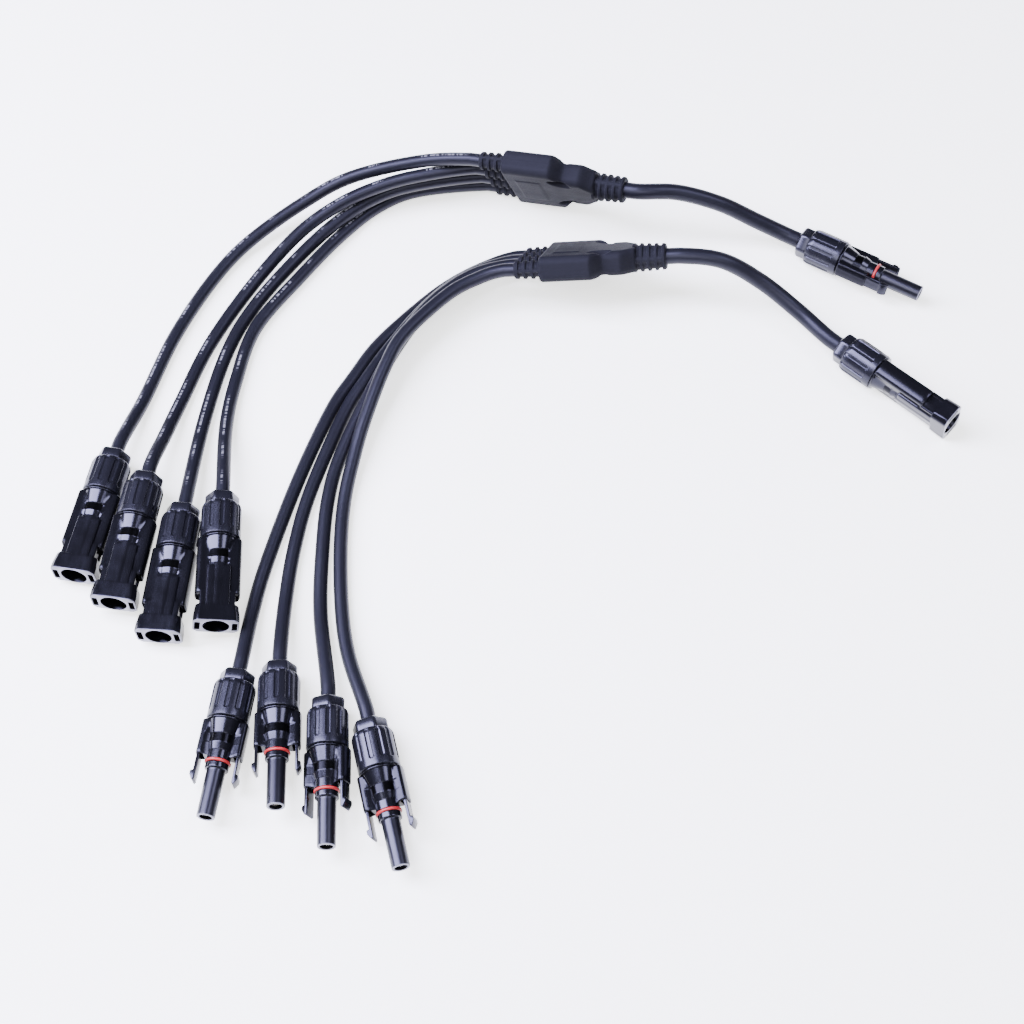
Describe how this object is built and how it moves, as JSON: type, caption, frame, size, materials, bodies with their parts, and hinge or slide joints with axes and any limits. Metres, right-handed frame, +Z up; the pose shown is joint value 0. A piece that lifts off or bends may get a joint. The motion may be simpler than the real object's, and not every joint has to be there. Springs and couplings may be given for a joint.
{
  "type": "solar branch cable pair",
  "caption": "Pair of branch cable harnesses for solar panels: ribbed moulded splitters join four short leads to one trunk, each lead ending in a latching plug or socket connector.",
  "frame": {"origin": "middle of the footprint of the splitters and connectors, on the surface they lie on", "axes": "+Z up, +X from the leg connectors on the left to the trunk connectors on the right, +Y away from the leg connectors towards the splitters"},
  "size_m": [0.3813, 0.3405, 0.0435],
  "materials": {
    "black_shell": "satin black moulded plastic",
    "black_nut": "semi-gloss black moulded plastic",
    "black_overmould": "satin black overmoulding",
    "cable_jacket": "satin black cross-linked jacket",
    "red_seal": "red silicone",
    "tinned_copper": "bright tin plate on copper"
  },
  "bodies": {
    "harness_a": {"a_splitter": "black_overmould", "a_splice_bar": "tinned_copper", "a_leg1_cable": "cable_jacket", "a_leg1_socket_housing": "black_shell", "a_leg1_socket_contact_pin": "tinned_copper", "a_leg2_cable": "cable_jacket", "a_leg2_socket_housing": "black_shell", "a_leg2_socket_contact_pin": "tinned_copper", "a_leg3_cable": "cable_jacket", "a_leg3_socket_housing": "black_shell", "a_leg3_socket_contact_pin": "tinned_copper", "a_leg4_cable": "cable_jacket", "a_leg4_socket_housing": "black_shell", "a_leg4_socket_contact_pin": "tinned_copper", "a_trunk_cable": "cable_jacket", "a_trunk_plug_housing": "black_shell", "a_trunk_plug_contact_tube": "tinned_copper", "a_trunk_plug_o_ring": "red_seal"},
    "harness_b": {"b_splitter": "black_overmould", "b_splice_bar": "tinned_copper", "b_leg1_cable": "cable_jacket", "b_leg1_plug_housing": "black_shell", "b_leg1_plug_contact_tube": "tinned_copper", "b_leg1_plug_o_ring": "red_seal", "b_leg2_cable": "cable_jacket", "b_leg2_plug_housing": "black_shell", "b_leg2_plug_contact_tube": "tinned_copper", "b_leg2_plug_o_ring": "red_seal", "b_leg3_cable": "cable_jacket", "b_leg3_plug_housing": "black_shell", "b_leg3_plug_contact_tube": "tinned_copper", "b_leg3_plug_o_ring": "red_seal", "b_leg4_cable": "cable_jacket", "b_leg4_plug_housing": "black_shell", "b_leg4_plug_contact_tube": "tinned_copper", "b_leg4_plug_o_ring": "red_seal", "b_trunk_cable": "cable_jacket", "b_trunk_socket_housing": "black_shell", "b_trunk_socket_contact_pin": "tinned_copper"},
    "a_leg1_socket_cap_nut": {"a_leg1_socket_cap_nut": "black_nut"},
    "a_leg2_socket_cap_nut": {"a_leg2_socket_cap_nut": "black_nut"},
    "a_leg3_socket_cap_nut": {"a_leg3_socket_cap_nut": "black_nut"},
    "a_leg4_socket_cap_nut": {"a_leg4_socket_cap_nut": "black_nut"},
    "a_trunk_plug_cap_nut": {"a_trunk_plug_cap_nut": "black_nut"},
    "a_trunk_plug_latch_left": {"a_trunk_plug_latch_left": "black_shell"},
    "a_trunk_plug_latch_right": {"a_trunk_plug_latch_right": "black_shell"},
    "b_leg1_plug_cap_nut": {"b_leg1_plug_cap_nut": "black_nut"},
    "b_leg1_plug_latch_left": {"b_leg1_plug_latch_left": "black_shell"},
    "b_leg1_plug_latch_right": {"b_leg1_plug_latch_right": "black_shell"},
    "b_leg2_plug_cap_nut": {"b_leg2_plug_cap_nut": "black_nut"},
    "b_leg2_plug_latch_left": {"b_leg2_plug_latch_left": "black_shell"},
    "b_leg2_plug_latch_right": {"b_leg2_plug_latch_right": "black_shell"},
    "b_leg3_plug_cap_nut": {"b_leg3_plug_cap_nut": "black_nut"},
    "b_leg3_plug_latch_left": {"b_leg3_plug_latch_left": "black_shell"},
    "b_leg3_plug_latch_right": {"b_leg3_plug_latch_right": "black_shell"},
    "b_leg4_plug_cap_nut": {"b_leg4_plug_cap_nut": "black_nut"},
    "b_leg4_plug_latch_left": {"b_leg4_plug_latch_left": "black_shell"},
    "b_leg4_plug_latch_right": {"b_leg4_plug_latch_right": "black_shell"},
    "b_trunk_socket_cap_nut": {"b_trunk_socket_cap_nut": "black_nut"}
  },
  "joints": [
    {"name": "a_leg1_socket_cap_nut_turn", "type": "hinge", "parent": "harness_a", "child": "a_leg1_socket_cap_nut", "pos_m": [-0.17335, 0.00334, 0.0085], "axis": [0.165, 0.9863, 0], "range_deg": [0, 350]},
    {"name": "a_leg2_socket_cap_nut_turn", "type": "hinge", "parent": "harness_a", "child": "a_leg2_socket_cap_nut", "pos_m": [-0.15728, -0.01053, 0.01213], "axis": [0.1184, 0.9928, 0.0175], "range_deg": [0, 350]},
    {"name": "a_leg3_socket_cap_nut_turn", "type": "hinge", "parent": "harness_a", "child": "a_leg3_socket_cap_nut", "pos_m": [-0.1407, -0.02368, 0.0085], "axis": [0.0698, 0.9976, 0], "range_deg": [0, 350]},
    {"name": "a_leg4_socket_cap_nut_turn", "type": "hinge", "parent": "harness_a", "child": "a_leg4_socket_cap_nut", "pos_m": [-0.1233, -0.02019, 0.01214], "axis": [-0.0401, 0.9989, 0.0262], "range_deg": [0, 350]},
    {"name": "a_trunk_plug_cap_nut_turn", "type": "hinge", "parent": "harness_a", "child": "a_trunk_plug_cap_nut", "pos_m": [0.13817, 0.12515, 0.0085], "axis": [-0.8572, 0.515, 0], "range_deg": [0, 350]},
    {"name": "a_trunk_plug_latch_left_flex", "type": "hinge", "parent": "harness_a", "child": "a_trunk_plug_latch_left", "pos_m": [0.16442, 0.11806, 0.00651], "axis": [-0.1333, -0.2219, -0.9659], "range_deg": [0, 4], "stiffness_Nm_per_rad": 0.6},
    {"name": "a_trunk_plug_latch_right_flex", "type": "hinge", "parent": "harness_a", "child": "a_trunk_plug_latch_right", "pos_m": [0.15676, 0.10531, 0.01049], "axis": [0.1333, 0.2219, 0.9659], "range_deg": [0, 4], "stiffness_Nm_per_rad": 0.6},
    {"name": "b_leg1_plug_cap_nut_turn", "type": "hinge", "parent": "harness_b", "child": "b_leg1_plug_cap_nut", "pos_m": [-0.11214, -0.09962, 0.0085], "axis": [0.1236, 0.9923, 0], "range_deg": [0, 350]},
    {"name": "b_leg1_plug_latch_left_flex", "type": "hinge", "parent": "harness_b", "child": "b_leg1_plug_latch_left", "pos_m": [-0.10773, -0.12652, 0.0085], "axis": [0, 0, -1], "range_deg": [0, 4], "stiffness_Nm_per_rad": 0.6},
    {"name": "b_leg1_plug_latch_right_flex", "type": "hinge", "parent": "harness_b", "child": "b_leg1_plug_latch_right", "pos_m": [-0.12301, -0.12462, 0.0085], "axis": [0, 0, 1], "range_deg": [0, 4], "stiffness_Nm_per_rad": 0.6},
    {"name": "b_leg2_plug_cap_nut_turn", "type": "hinge", "parent": "harness_b", "child": "b_leg2_plug_cap_nut", "pos_m": [-0.09438, -0.09647, 0.00932], "axis": [-0.0523, 0.9973, -0.0523], "range_deg": [0, 350]},
    {"name": "b_leg2_plug_latch_left_flex", "type": "hinge", "parent": "harness_b", "child": "b_leg2_plug_latch_left", "pos_m": [-0.08532, -0.12215, 0.01069], "axis": [0.0027, -0.0523, -0.9986], "range_deg": [0, 4], "stiffness_Nm_per_rad": 0.6},
    {"name": "b_leg2_plug_latch_right_flex", "type": "hinge", "parent": "harness_b", "child": "b_leg2_plug_latch_right", "pos_m": [-0.1007, -0.12295, 0.01069], "axis": [-0.0027, 0.0523, 0.9986], "range_deg": [0, 4], "stiffness_Nm_per_rad": 0.6},
    {"name": "b_leg3_plug_cap_nut_turn", "type": "hinge", "parent": "harness_b", "child": "b_leg3_plug_cap_nut", "pos_m": [-0.07443, -0.11149, 0.00937], "axis": [-0.0471, 0.9987, -0.0175], "range_deg": [0, 350]},
    {"name": "b_leg3_plug_latch_left_flex", "type": "hinge", "parent": "harness_b", "child": "b_leg3_plug_latch_left", "pos_m": [-0.06617, -0.13722, 0.01296], "axis": [0.407, 0.0032, -0.9134], "range_deg": [0, 4], "stiffness_Nm_per_rad": 0.6},
    {"name": "b_leg3_plug_latch_right_flex", "type": "hinge", "parent": "harness_b", "child": "b_leg3_plug_latch_right", "pos_m": [-0.08022, -0.13799, 0.0067], "axis": [-0.407, -0.0032, 0.9134], "range_deg": [0, 4], "stiffness_Nm_per_rad": 0.6},
    {"name": "b_leg4_plug_cap_nut_turn", "type": "hinge", "parent": "harness_b", "child": "b_leg4_plug_cap_nut", "pos_m": [-0.05611, -0.12041, 0.009], "axis": [-0.2385, 0.9711, 0], "range_deg": [0, 350]},
    {"name": "b_leg4_plug_latch_left_flex", "type": "hinge", "parent": "harness_b", "child": "b_leg4_plug_latch_left", "pos_m": [-0.04265, -0.14403, 0.01099], "axis": [0.2513, 0.0617, -0.9659], "range_deg": [0, 4], "stiffness_Nm_per_rad": 0.6},
    {"name": "b_leg4_plug_latch_right_flex", "type": "hinge", "parent": "harness_b", "child": "b_leg4_plug_latch_right", "pos_m": [-0.0571, -0.14758, 0.00701], "axis": [-0.2513, -0.0617, 0.9659], "range_deg": [0, 4], "stiffness_Nm_per_rad": 0.6},
    {"name": "b_trunk_socket_cap_nut_turn", "type": "hinge", "parent": "harness_b", "child": "b_trunk_socket_cap_nut", "pos_m": [0.14901, 0.06218, 0.0099], "axis": [-0.7314, 0.682, 0], "range_deg": [0, 350]},
    {"name": "harness_b_lift", "type": "slide", "parent": "harness_a", "child": "harness_b", "axis": [0, 0, 1], "range_m": [0, 0.12]}
  ]
}
